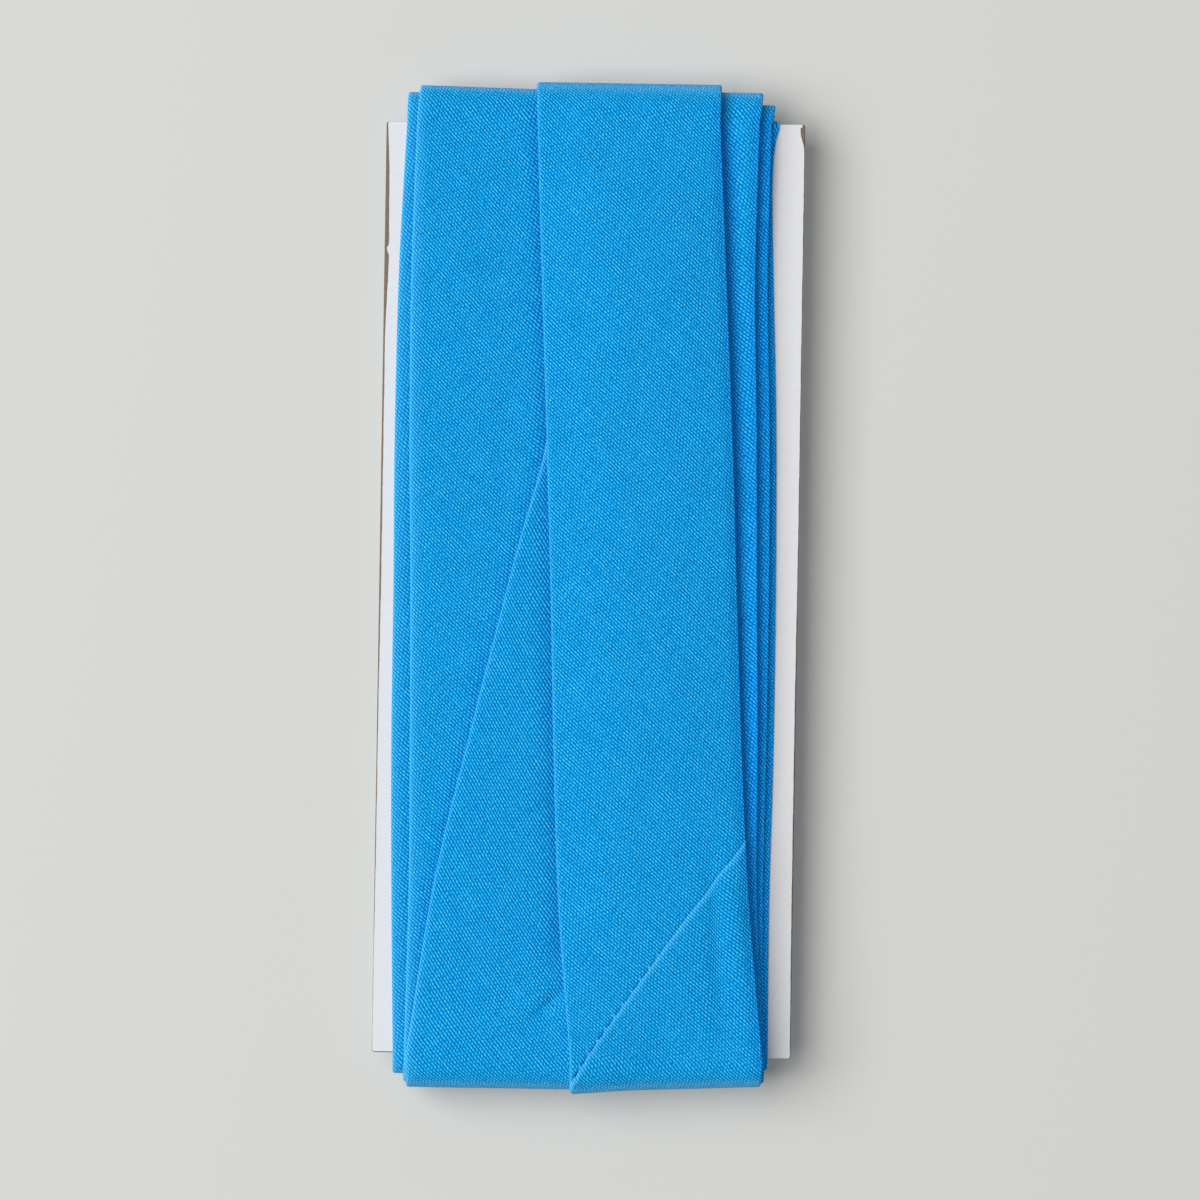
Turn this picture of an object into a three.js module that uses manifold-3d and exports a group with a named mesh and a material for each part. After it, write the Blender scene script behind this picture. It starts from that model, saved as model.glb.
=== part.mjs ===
// Bias binding wound on a card: a flat board card, wound lengthwise with one pressed cotton tape.
// Millimetres. +X runs across the card, +Y along it to its top end, +Z out of its front.
// The part lies on its back: its origin is under the middle of its box, on the surface it lies on.

import * as THREE from "three";
import { mergeVertices } from "three/addons/utils/BufferGeometryUtils.js";
import Module from "manifold-3d";

// Driving dimensions of the card
const CARD_WIDTH = 56;
const CARD_LENGTH = 124.5;
const CARD_THICKNESS = 1.6;
const CARD_CORNER_RADIUS = 0.6;
const CARD_EDGE_BEVEL = 0.35;

// Driving dimensions of the tape
const TAPE_WIDTH = 25;
const FOLD_ROUND = 0.45;
const FOLD_DROP = 0.4;
const CARD_CLEARANCE = 0.3;

// The turns that show, from the innermost to the outermost. The columns from top to bottom are the places
// of the tape's centre line across the card, at seven even steps down its front. topReach and bottomReach
// are how far the turn's loops stand past the card's ends. left and right are the heights of its two edges
// over the card's front, and back is the depth of its run behind the card, which climbs to the top of the
// next turn.
const TURNS = [
  {
    name: "first of the right stack",
    top: 11.7, high: 11.4, upper: 11.8, middle: 12.1, lower: 12.1, low: 11.9, bottom: 11.8,
    topReach: 0.9, bottomReach: 1.7, left: 0.9, right: 0.9, back: 0.9,
  },
  {
    name: "last of the right stack",
    top: 11.0, high: 10.8, upper: 11.4, middle: 11.6, lower: 11.6, low: 11.4, bottom: 11.4,
    topReach: 3.0, bottomReach: 2.7, left: 2.3, right: 2.2, back: 2.0,
  },
  {
    name: "last of the left stack",
    top: -12.4, high: -13.3, upper: -13.5, middle: -13.3, lower: -13.3, low: -13.0, bottom: -12.6,
    topReach: 4.0, bottomReach: 2.8, left: 3.0, right: 3.0, back: 2.9,
  },
  {
    name: "second turn from the right",
    top: 9.1, high: 8.9, upper: 9.6, middle: 10.0, lower: 10.3, low: 10.6, bottom: 11.6,
    topReach: 4.6, bottomReach: 3.4, left: 3.9, right: 3.7, back: 3.6,
  },
  {
    name: "second turn from the left",
    top: -11.3, high: -11.9, upper: -11.9, middle: -11.5, lower: -11.3, low: -11.1, bottom: -11.4,
    topReach: 4.8, bottomReach: 3.9, left: 3.7, right: 3.9, back: 4.2,
  },
  {
    name: "slanting turn",
    top: 4.5, high: 5.4, upper: 6.3, middle: 1.9, lower: -3.1, low: -7.8, bottom: -10.7,
    topReach: 5.2, bottomReach: 4.6, left: 5.0, right: 4.8, back: 4.7,
  },
  {
    name: "outermost turn",
    top: 4.4, high: 5.3, upper: 6.3, middle: 7.2, lower: 8.0, low: 9.1, bottom: 11.0,
    topReach: 5.6, bottomReach: 4.8, left: 6.3, right: 6.1, back: 5.3,
  },
];
const PLACES = ["top", "high", "upper", "middle", "lower", "low", "bottom"];

// The tape's outer end lies flat behind the card, and the part rests on that run.
const TAIL_END = { x: -7, y: 44 };

// The bias join on the outermost turn. Its allowance lies under the piece below the seam and lifts it: fully
// along the seam, from its right end down to its left one, and not at all along the allowance's far side.
const JOIN = {
  lift: 0.45,
  depth: 2,
  corners: [
    { name: "right end of the seam", x: 20.6, y: -34, raised: true },
    { name: "left end of the seam", x: 2.0, y: -61.8, raised: true },
    { name: "far side at the card's end", x: 8.5, y: -61.8, raised: false },
    { name: "far side at the right edge", x: 21.0, y: -43.5, raised: false },
  ],
};

// Steps of the curved runs and of the card's rounded edges
const LOOP_STEPS = 6;
const RUN_STEPS = 14;
const SETTLE_LENGTH = 14;
const BEVEL_STEPS = 2;
const CORNER_STEPS = 3;

// Finishes
const TAPE_FINISH = { color: 0x1896d9, roughness: 0.9, metalness: 0 };
const CARD_FINISH = { color: 0xdbe2ea, roughness: 0.75, metalness: 0 };

const HALF_CARD = CARD_THICKNESS / 2;
const CARD_END = CARD_LENGTH / 2;
const HALF_WIDTH = TAPE_WIDTH / 2;
const SEAT = 0.3; // each run reaches this far past the card's middle plane, so that the two sides join
const SAME_POINT = 1e-4; // points closer than this are one
const FRONT = 1;
const BACK = -1;

const wasm = await Module();
wasm.setup();

// A closed geometry as a solid that can be joined and cut.
function solidOf(geometry) {
  const bare = geometry.clone();
  bare.deleteAttribute("normal");
  bare.deleteAttribute("uv");
  const merged = mergeVertices(bare, SAME_POINT);
  return new wasm.Manifold(
    new wasm.Mesh({
      numProp: 3,
      vertProperties: new Float32Array(merged.attributes.position.array),
      triVerts: new Uint32Array(merged.index.array),
    }),
  );
}

// A solid as a geometry for a mesh.
function geometryOf(solid) {
  const mesh = solid.getMesh();
  const geometry = new THREE.BufferGeometry();
  geometry.setAttribute("position", new THREE.BufferAttribute(new Float32Array(mesh.vertProperties), 3));
  geometry.setIndex(new THREE.BufferAttribute(new Uint32Array(mesh.triVerts), 1));
  geometry.computeVertexNormals();
  return geometry;
}

// The tape's section from its left fold to its right one: u across the width, drop below the run's level.
const SECTION = [
  { u: -HALF_WIDTH, drop: FOLD_DROP },
  { u: -HALF_WIDTH + FOLD_ROUND, drop: 0 },
  { u: -HALF_WIDTH / 3, drop: 0 },
  { u: HALF_WIDTH / 3, drop: 0 },
  { u: HALF_WIDTH - FOLD_ROUND, drop: 0 },
  { u: HALF_WIDTH, drop: FOLD_DROP },
];

// One cross row of a run. The row turns with the centre line, and squares up to the card's end near it.
function crossRow(centre, tangent, y, lift, run) {
  const slope = Math.atan2(-tangent.x, -tangent.y);
  const settle = THREE.MathUtils.smoothstep(CARD_END - Math.abs(y), 0, SETTLE_LENGTH);
  const turn = slope * settle;
  const stretch = 1 / Math.cos(slope - turn);
  return SECTION.map(({ u, drop }) => {
    const across = u * stretch;
    const level = THREE.MathUtils.lerp(run.left, run.right, (u + HALF_WIDTH) / TAPE_WIDTH);
    return {
      x: centre.x + across * Math.cos(turn),
      y: y - across * Math.sin(turn),
      z: Math.max(0, (HALF_CARD + level - drop) * lift),
    };
  });
}

// The rows of one end loop, a quarter of an ellipse from its tip to the card's end.
function loopRows(centre, tangent, end, reach, run) {
  const rows = [];
  for (let i = 0; i < LOOP_STEPS; i += 1) {
    const angle = (i / LOOP_STEPS) * (Math.PI / 2);
    const y = end * (CARD_END + reach * Math.cos(angle));
    rows.push(crossRow(centre, tangent, y, Math.sin(angle), run));
  }
  return rows;
}

// All rows of one run from its top to its bottom. A run with no top loop ends square.
function runRows(curve, run) {
  const rows = [];
  if (run.topReach) {
    rows.push(...loopRows(curve.getPoint(0), curve.getTangent(0), 1, run.topReach, run));
  }
  for (let i = 0; i <= RUN_STEPS; i += 1) {
    const t = i / RUN_STEPS;
    const centre = curve.getPoint(t);
    rows.push(crossRow(centre, curve.getTangent(t), centre.y, 1, run));
  }
  rows.push(...loopRows(curve.getPoint(1), curve.getTangent(1), -1, run.bottomReach, run).reverse());
  return rows;
}

// The closed solid between a run's outer face and the card's middle plane, on the given side of the card.
function runSolid(rows, side) {
  const points = [];
  for (const row of rows) {
    points.push(...row.map((p) => [p.x, p.y, side * p.z]));
    points.push(...row.map((p) => [p.x, p.y, -side * SEAT]));
  }
  const across = SECTION.length;
  const ring = 2 * across;
  const around = [...Array(across).keys(), ...[...Array(across).keys()].reverse().map((k) => k + across)];
  const faces = [];
  for (let r = 0; r + 1 < rows.length; r += 1) {
    around.forEach((k, n) => {
      const next = around[(n + 1) % ring];
      const [a, b] = [r * ring + k, r * ring + next];
      faces.push([a, a + ring, b + ring], [a, b + ring, b]);
    });
  }
  const last = (rows.length - 1) * ring;
  for (let k = 0; k + 1 < across; k += 1) {
    const [a, b] = [k, k + 1];
    faces.push([a, b, b + across], [a, b + across, a + across]);
    faces.push([last + a, last + b + across, last + b], [last + a, last + a + across, last + b + across]);
  }
  const ordered = side === FRONT ? faces : faces.map(([a, b, c]) => [a, c, b]);
  const geometry = new THREE.BufferGeometry();
  geometry.setAttribute("position", new THREE.Float32BufferAttribute(points.flat(), 3));
  geometry.setIndex(ordered.flat());
  return solidOf(geometry);
}

// The front run of a turn, through its seven places.
function frontRun(turn) {
  const step = CARD_LENGTH / (PLACES.length - 1);
  const places = PLACES.map((place, i) => new THREE.Vector2(turn[place], CARD_END - i * step));
  return runSolid(runRows(new THREE.SplineCurve(places), turn), FRONT);
}

// The back run of a turn: straight from its own bottom to the next turn's top, or to the tape's end.
function backRun(turn, next) {
  const goal = next ? new THREE.Vector2(next.top, CARD_END) : new THREE.Vector2(TAIL_END.x, TAIL_END.y);
  const line = new THREE.LineCurve(goal, new THREE.Vector2(turn.bottom, -CARD_END));
  const run = { left: turn.back, right: turn.back, topReach: next?.topReach, bottomReach: turn.bottomReach };
  return runSolid(runRows(line, run), BACK);
}

// The raised allowance of the bias join: a wedge on the outermost turn's front, sunk into it.
function joinSolid(turn) {
  const tape = (x) => HALF_CARD + THREE.MathUtils.mapLinear(x, turn.bottom - HALF_WIDTH,
    turn.bottom + HALF_WIDTH, turn.left, turn.right);
  const outer = JOIN.corners.map(({ x, y, raised }) => [x, y, tape(x) + (raised ? JOIN.lift : 0)]);
  const inner = JOIN.corners.map(({ x, y }) => [x, y, tape(x) - JOIN.depth]);
  const count = JOIN.corners.length;
  const faces = [];
  for (let k = 0; k < count; k += 1) {
    const next = (k + 1) % count;
    faces.push([k, count + k, count + next], [k, count + next, next]);
  }
  for (let k = 1; k + 1 < count; k += 1) {
    faces.push([0, k, k + 1], [count, count + k + 1, count + k]);
  }
  const geometry = new THREE.BufferGeometry();
  geometry.setAttribute("position", new THREE.Float32BufferAttribute([...outer, ...inner].flat(), 3));
  geometry.setIndex(faces.flat());
  return solidOf(geometry);
}

// The slot that the wound tape keeps round the card.
function cardSlot() {
  const gap = 2 * CARD_CLEARANCE;
  return solidOf(new THREE.BoxGeometry(2 * CARD_WIDTH, CARD_LENGTH + gap, CARD_THICKNESS + gap));
}

// The wound tape: every run joined into one form.
function makeBinding() {
  const runs = TURNS.flatMap((turn, i) => [frontRun(turn), backRun(turn, TURNS[i + 1])]);
  const wound = runs.reduce((whole, run) => whole.add(run));
  const solid = wound.add(joinSolid(TURNS.at(-1))).subtract(cardSlot());
  const mesh = new THREE.Mesh(geometryOf(solid), new THREE.MeshStandardMaterial(TAPE_FINISH));
  mesh.name = "binding";
  return mesh;
}

// The card: a rectangle with softened corners, and edges that the cutting die rounded a little.
function makeCard() {
  const [x, y, r] = [CARD_WIDTH / 2 - CARD_EDGE_BEVEL, CARD_END - CARD_EDGE_BEVEL, CARD_CORNER_RADIUS];
  const outline = new THREE.Shape();
  outline.absarc(x - r, y - r, r, 0, Math.PI / 2);
  outline.absarc(r - x, y - r, r, Math.PI / 2, Math.PI);
  outline.absarc(r - x, r - y, r, Math.PI, 1.5 * Math.PI);
  outline.absarc(x - r, r - y, r, 1.5 * Math.PI, 2 * Math.PI);
  const geometry = new THREE.ExtrudeGeometry(outline, {
    depth: CARD_THICKNESS - 2 * CARD_EDGE_BEVEL,
    bevelThickness: CARD_EDGE_BEVEL,
    bevelSize: CARD_EDGE_BEVEL,
    bevelSegments: BEVEL_STEPS,
    curveSegments: CORNER_STEPS,
  });
  geometry.translate(0, 0, CARD_EDGE_BEVEL - HALF_CARD);
  const mesh = new THREE.Mesh(geometry, new THREE.MeshStandardMaterial(CARD_FINISH));
  mesh.name = "card";
  return mesh;
}

const topReach = Math.max(...TURNS.map((turn) => turn.topReach));
const bottomReach = Math.max(...TURNS.map((turn) => turn.bottomReach));
const restDepth = Math.max(...TURNS.map((turn) => turn.back));

const group = new THREE.Group();
group.add(makeCard(), makeBinding());
group.position.set(0, (bottomReach - topReach) / 2, HALF_CARD + restDepth);

export default group;
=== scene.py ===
"""Dresses the bias binding wound on a card.

Sizes are millimetres in the card's own frame: its origin is the middle of the card, X runs across it, Y
along it to its top end and Z out of its front. Meshes are put into the row frame, in metres, as they are
made.
"""

import logging
import math
from dataclasses import dataclass, field, replace
from enum import Enum
from functools import partial
from typing import Any, Callable

import bpy
import numpy as np
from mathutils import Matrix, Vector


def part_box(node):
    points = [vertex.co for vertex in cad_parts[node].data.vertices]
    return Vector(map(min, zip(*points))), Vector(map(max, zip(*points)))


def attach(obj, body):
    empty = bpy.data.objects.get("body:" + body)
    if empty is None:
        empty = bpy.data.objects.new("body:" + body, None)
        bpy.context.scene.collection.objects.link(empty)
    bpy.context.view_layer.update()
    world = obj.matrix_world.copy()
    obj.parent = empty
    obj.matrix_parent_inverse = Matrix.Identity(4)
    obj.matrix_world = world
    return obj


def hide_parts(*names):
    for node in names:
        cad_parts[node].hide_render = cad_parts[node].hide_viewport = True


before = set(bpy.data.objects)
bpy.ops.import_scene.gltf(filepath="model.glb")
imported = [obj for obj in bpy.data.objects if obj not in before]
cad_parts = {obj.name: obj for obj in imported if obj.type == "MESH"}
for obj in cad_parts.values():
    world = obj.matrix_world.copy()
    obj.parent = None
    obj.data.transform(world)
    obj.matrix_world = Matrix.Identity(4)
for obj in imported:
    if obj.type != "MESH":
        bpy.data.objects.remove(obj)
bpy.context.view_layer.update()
LOG = logging.getLogger("binding")

MM = 0.001
BODY = "root"
CARD_LOW, CARD_HIGH = (np.array(corner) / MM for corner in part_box("card"))
CARD_CENTRE = (CARD_LOW + CARD_HIGH) / 2
CARD_WIDTH, CARD_LENGTH, CARD_THICKNESS = CARD_HIGH - CARD_LOW
CARD_END = CARD_LENGTH / 2
HALF_CARD = CARD_THICKNESS / 2
SRGB_FULL, SRGB_KNEE, SRGB_SLOPE, SRGB_OFFSET, SRGB_GAMMA = 255, 0.04045, 12.92, 0.055, 2.4
# The middle of a noise's range, of a colour ramp and of a width.
MIDDLE = 0.5
# The colour sockets of a mix node, whose names repeat.
MIX_FIRST, MIX_SECOND, MIX_RESULT = 6, 7, 2
# The column of the laid tape after its X, Y and Z: how much painted shade, a bluer tint, a point gets.
SHADE_COLUMN = 3


class Side(Enum):
    """A face of the card, with the sign of its outward direction."""

    FRONT = 1
    BACK = -1


class Part(Enum):
    """A part of a turn, or the tape's inner end."""

    LEAD = "lead"
    TOP = "top"
    FRONT = "front"
    BOTTOM = "bottom"
    BACK = "back"


class Detail(Enum):
    """How close together the rows of a run's mesh and of its loops lie, in steps of the laid grid."""

    JOINED = (2, 1)
    OPEN = (2, 2)
    EDGE = (4, 2)
    HIDDEN = (16, 4)


class Solid(Enum):
    """A solid that pieces stand for, with their material slot."""

    CARD = ("card", "lined_board")
    BINDING = ("binding", "cotton_binding")


def linear(colour: str) -> tuple[float, ...]:
    """Turns an sRGB hex colour into linear values.

    Args:
        colour: six hex digits.

    Returns:
        Red, green, blue and an alpha of one.
    """
    parts = [part / SRGB_FULL for part in bytes.fromhex(colour)]
    curved = [((part + SRGB_OFFSET) / (1 + SRGB_OFFSET)) ** SRGB_GAMMA for part in parts]
    return (*(part / SRGB_SLOPE if part <= SRGB_KNEE else high for part, high in zip(parts, curved)), 1.0)


def smooth(share: np.ndarray) -> np.ndarray:
    """Eases a share from nought to one, level at both ends."""
    return share * share * (3 - 2 * share)


def feed(node: bpy.types.Node, inputs: dict[Any, Any]) -> None:
    """Sets or links a node's inputs.

    Args:
        node: the node.
        inputs: the value of each input by name or number, or the output that feeds it.
    """
    for key, value in inputs.items():
        if isinstance(value, bpy.types.NodeSocket):
            node.id_data.links.new(value, node.inputs[key])
        else:
            node.inputs[key].default_value = value


def add_node(
    tree: bpy.types.NodeTree, kind: str, inputs: dict[Any, Any] | tuple, out: str | int = 0, **settings: Any
) -> bpy.types.NodeSocket:
    """Adds a node with its settings and links.

    Args:
        tree: the node tree.
        kind: Blender's name for the kind of shader node, without its first part.
        inputs: its inputs by name or number, or all of them in order.
        out: the output to hand on.
        settings: the node's own properties.

    Returns:
        The output.
    """
    node = tree.nodes.new(f"ShaderNode{kind}")
    for name, value in settings.items():
        setattr(node, name, value)
    feed(node, inputs if isinstance(inputs, dict) else dict(enumerate(inputs)))
    return node.outputs[out]


def new_material(name: str) -> tuple[bpy.types.Material, bpy.types.Node, Callable]:
    """Makes a material with a plain surface.

    Args:
        name: what the real material is and how its surface was made.

    Returns:
        The material, its surface shader, and what adds a node to its tree.
    """
    material = bpy.data.materials.new(name)
    material.use_nodes = True
    tree = material.node_tree
    return material, tree.nodes["Principled BSDF"], partial(add_node, tree)


def make_piece(
    name: str, points: np.ndarray, faces: list, material: bpy.types.Material, solid: Solid
) -> bpy.types.Object:
    """Makes a smooth mesh object that rides on the part.

    Args:
        name: the piece's name.
        points: its points in the card's frame, in millimetres.
        faces: its faces, as rows of point numbers.
        material: its finish.
        solid: the solid that it stands for.

    Returns:
        The new object.
    """
    mesh = bpy.data.meshes.new(name)
    mesh.from_pydata(((points + CARD_CENTRE) * MM).tolist(), [], faces)
    mesh.validate()
    mesh.shade_smooth()
    mesh.materials.append(material)
    piece = bpy.data.objects.new(name, mesh)
    bpy.context.scene.collection.objects.link(piece)
    node, slot = solid.value
    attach(piece, BODY)
    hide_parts(node)
    return piece


def grid_faces(rows: int, columns: int) -> list[list[int]]:
    """The four-sided faces of an open grid, facing out where rows run on and columns run to the right."""
    corner = (np.arange(rows - 1)[:, None] * columns + np.arange(columns - 1)[None, :]).ravel()
    return np.stack([corner, corner + columns, corner + columns + 1, corner + 1], axis=1).tolist()


def tube_faces(rings: int, sides: int, first: int = 0) -> list[tuple[int, ...]]:
    """The faces of a closed tube.

    Args:
        rings: how many rings of points it has.
        sides: how many points a ring has.
        first: the number of its first point.

    Returns:
        Its first end, its sides and its last end.
    """
    faces = [tuple(range(first, first + sides))[::-1]]
    last = first + (rings - 1) * sides
    for low in range(first, last, sides):
        for k in range(sides):
            n = (k + 1) % sides
            faces.append((low + k, low + n, low + sides + n, low + sides + k))
    return [*faces, tuple(range(last, last + sides))]


@dataclass(frozen=True)
class BiasCotton:
    """Dyed cotton, plain-woven, cut on the bias and pressed, with its threads at their measured spacing."""

    # Its threads cross the tape slantwise, and those that lean left over right stand up most, so the eye
    # sees fine beaded ridges with dark gaps, and no gloss. The weave's height is also painted into its
    # colour, as painted shade in the gaps and a painted highlight on the crowns. The hairs of the yarn turn
    # the bends round the card's ends paler and greyer. Pressed folds that face the light and the crest of
    # the seam's lip get a painted highlight, and cloth beside the edges of upper turns and on the right
    # shoulders and folds, away from the light, gets painted shade as a bluer tint.
    shade: str = "0062A6"
    dye: str = "009DE3"
    highlight: str = "4AD2FF"
    raised_pitch: float = 0.385
    raised_angle: float = -44.0
    sunk_pitch: float = 0.267
    sunk_angle: float = 40.0
    floor: float = 0.05
    ridge_share: float = 0.68
    leaning_share: float = -0.1
    crossing_share: float = 0.06
    wander_mm: float = 1.4
    wander: float = 0.16
    thread_run: float = 0.03
    thread_fineness: float = 2.0
    thread_unevenness: float = 0.36
    crossing_unevenness: float = 0.33
    bead_run: float = 0.5
    bead_fineness: float = 1.6
    bead_unevenness: float = 0.95
    contrast: float = 1.08
    patch_mm: float = 1.2
    patchiness: float = 1.2
    mottle_mm: float = 6.0
    mottle: float = 0.05
    plain_detail: float = 1.0
    fine_detail: float = 2.0
    relief_mm: float = 0.15
    roughness: float = 0.85
    fuzz: float = 0.6
    gloss: float = 0.01
    sheen: float = 0.4
    sheen_roughness: float = 0.2
    hairs: str = "C0E0FF"
    painted_highlight: str = "58CCFF"
    painted_shade_blue: str = "000068"

    def wave(self, pitch: float, angle: float) -> tuple[float, float, float]:
        """Thread counts to a millimetre across and along the tape, for threads of a pitch and lean."""
        turn = math.radians(angle)
        return (math.cos(turn) / pitch, math.sin(turn) / pitch, 0.0)

    def threads(self, node: Callable, place: bpy.types.NodeSocket) -> list[bpy.types.NodeSocket]:
        """Counts the threads up to each place.

        Args:
            node: what adds a node.
            place: the place on the flat tape, in millimetres.

        Returns:
            The counts of raised and of sunk threads.
        """
        raised = self.wave(self.raised_pitch, self.raised_angle)
        sunk = self.wave(self.sunk_pitch, self.sunk_angle)
        return [
            node("VectorMath", (place, wave), "Value", operation="DOT_PRODUCT") for wave in (raised, sunk)
        ]

    def weave(self, node: Callable, counts: list[bpy.types.NodeSocket]) -> bpy.types.NodeSocket:
        """Raises the threads.

        Args:
            node: what adds a node.
            counts: the counts of raised and of sunk threads.

        Returns:
            The height of the weave, from nought to about one.
        """
        phase = node("Math", (counts[0], math.pi), operation="MULTIPLY")
        ridge = node("Math", (node("Math", (phase,), operation="SINE"),), operation="ABSOLUTE")
        height = node("Math", (ridge, self.ridge_share, self.floor), operation="MULTIPLY_ADD")
        for operation, share in (("ADD", self.leaning_share), ("SUBTRACT", self.crossing_share)):
            both = node("Math", tuple(counts), operation=operation)
            phase = node("Math", (both, math.pi), operation="MULTIPLY")
            crest = node("Math", (phase,), operation="COSINE")
            height = node("Math", (crest, share, height), operation="MULTIPLY_ADD")
        return height

    def tone(
        self,
        node: Callable,
        place: bpy.types.NodeSocket,
        counts: list[bpy.types.NodeSocket],
        height: bpy.types.NodeSocket,
    ) -> bpy.types.NodeSocket:
        """Paints shade and highlight into the weave's colour from its height, uneven from thread to thread,
        along each thread and from patch to patch.

        Args:
            node: what adds a node.
            place: the place on the flat tape, in millimetres.
            counts: the counts of raised and of sunk threads.
            height: the height of the weave.

        Returns:
            The place on the colour ramp.
        """
        yarns = (
            (counts, self.thread_run, self.thread_fineness, self.thread_unevenness),
            (counts[::-1], self.thread_run, self.thread_fineness, self.crossing_unevenness),
            (counts, self.bead_run, self.bead_fineness, self.bead_unevenness),
        )
        mean = MIDDLE + MIDDLE * sum(amount for *_, amount in yarns)
        tone = node("Math", (height, mean), operation="SUBTRACT")
        for (count, other), run, scale, amount in yarns:
            along = node("Math", (other, run), operation="MULTIPLY")
            thread = node("CombineXYZ", {"X": count, "Y": along})
            noise = node("TexNoise", {"Vector": thread, "Scale": scale, "Detail": self.fine_detail})
            tone = node("Math", (noise, amount, tone), operation="MULTIPLY_ADD")
        patch = node("TexNoise", {"Vector": place, "Scale": 1 / self.patch_mm, "Detail": self.plain_detail})
        least = self.contrast - MIDDLE * self.patchiness
        strength = node("Math", (patch, self.patchiness, least), operation="MULTIPLY_ADD")
        tone = node("Math", (tone, strength, MIDDLE - MIDDLE * self.mottle), operation="MULTIPLY_ADD")
        cloud = node("TexNoise", {"Vector": place, "Scale": 1 / self.mottle_mm, "Detail": self.fine_detail})
        return node("Math", (cloud, self.mottle, tone), operation="MULTIPLY_ADD")

    def material(self) -> bpy.types.Material:
        """Makes the woven finish from the tape's own flat places, in millimetres.

        Returns:
            The material.
        """
        material, surface, node = new_material("bias_cotton_plain_woven")
        flat = node("Attribute", {}, "Vector", attribute_name="tape_mm")
        noise = {"Vector": flat, "Scale": 1 / self.wander_mm, "Detail": self.plain_detail}
        drift = node("VectorMath", (node("TexNoise", noise, "Color"), (MIDDLE,) * 3), operation="SUBTRACT")
        place = node("VectorMath", (drift, (self.wander,) * 3, flat), operation="MULTIPLY_ADD")
        counts = self.threads(node, place)
        height = self.weave(node, counts)
        ramp = node("ValToRGB", {"Fac": self.tone(node, place, counts, height)})
        elements = ramp.node.color_ramp.elements
        elements.new(MIDDLE)
        for element, colour in zip(elements, (self.shade, self.dye, self.highlight)):
            element.color = linear(colour)
        worn_and_lit, bent, painted_shade_share = (
            node("Attribute", {}, "Fac", attribute_name=name) for name in ("fold_highlight", "bent", "painted_shade_blue")
        )
        # Painted highlight: the raised threads are turned paler on folds that face the light and on the
        # seam's lip.
        highlight_share = node("Math", (worn_and_lit, height), operation="MULTIPLY")
        colours = {"Factor": highlight_share, MIX_FIRST: ramp, MIX_SECOND: linear(self.painted_highlight)}
        colour = node("Mix", colours, MIX_RESULT, data_type="RGBA")
        # Painted shade: cloth beside the edges of upper turns and on the right shoulders and folds, away from
        # the light, is tinted bluer.
        colours = {"Factor": painted_shade_share, MIX_FIRST: colour, MIX_SECOND: linear(self.painted_shade_blue)}
        colour = node("Mix", colours, MIX_RESULT, data_type="RGBA", blend_type="ADD", clamp_result=True)
        surface_inputs = {
            "Base Color": colour,
            "Normal": node("Bump", {"Height": height, "Distance": self.relief_mm * MM, "Strength": 1.0}),
            "Roughness": self.roughness,
            "Diffuse Roughness": self.fuzz,
            "Specular IOR Level": self.gloss,
            "Sheen Weight": node("Math", (bent, self.sheen), operation="MULTIPLY"),
            "Sheen Roughness": self.sheen_roughness,
            "Sheen Tint": linear(self.hairs),
        }
        feed(surface, surface_inputs)
        return material


@dataclass(frozen=True)
class Fibrous:
    """A dull surface of fibres in two close colours, which the finishes after it share."""

    name: str
    dark: str
    light: str
    grain_mm: float
    detail: float
    relief_mm: float
    roughness: float
    gloss: float = 0.5

    def material(self) -> bpy.types.Material:
        """Makes the finish.

        Returns:
            The material.
        """
        material, surface, node = new_material(self.name)
        place = node("TexCoord", {}, "Object")
        grain = node("TexNoise", {"Vector": place, "Scale": 1 / (self.grain_mm * MM), "Detail": self.detail})
        ramp = node("ValToRGB", {"Fac": grain})
        for element, colour in zip(ramp.node.color_ramp.elements, (self.dark, self.light)):
            element.color = linear(colour)
        feed(surface, {"Base Color": ramp, "Roughness": self.roughness, "Specular IOR Level": self.gloss})
        if self.relief_mm:
            feed(surface, {"Normal": node("Bump", {"Height": grain, "Distance": self.relief_mm * MM})})
        return material


@dataclass(frozen=True)
class PaperLining(Fibrous):
    """Machine-finished white paper, glued to board."""

    # It looks flat, matt and very slightly blue. Its fibres are too fine to show, so its grain is drawn
    # coarser.
    name: str = "white_paper_lining_calendered"
    dark: str = "D5D5D6"
    light: str = "DDDDDD"
    grain_mm: float = 0.6
    detail: float = 4.0
    relief_mm: float = 0.01
    roughness: float = 0.7


@dataclass(frozen=True)
class CutBoard(Fibrous):
    """Recycled brown board, die cut."""

    # Its cut edge looks dull and fibrous, with lighter and darker flecks, drawn coarser than fibres so as
    # to show.
    name: str = "brown_board_die_cut"
    dark: str = "554338"
    light: str = "93836F"
    grain_mm: float = 0.25
    detail: float = 5.0
    relief_mm: float = 0.05
    roughness: float = 0.95


@dataclass(frozen=True)
class SewingThread(Fibrous):
    """Spun sewing thread, dyed to match."""

    # It looks like a soft cord with a slight gloss, which catches the light on its crown.
    name: str = "cotton_thread_spun"
    dark: str = "2AA2E6"
    light: str = "5CC4FA"
    grain_mm: float = 0.2
    detail: float = 2.0
    relief_mm: float = 0.0
    roughness: float = 0.6
    gloss: float = 0.1


PLACES = ("top", "high", "upper", "middle", "lower", "low", "bottom")
CURL_LENGTH = 4.0
# The middle width of a front run holds from the card's middle up to here.
MIDDLE_TOP = CARD_END / 4


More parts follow.
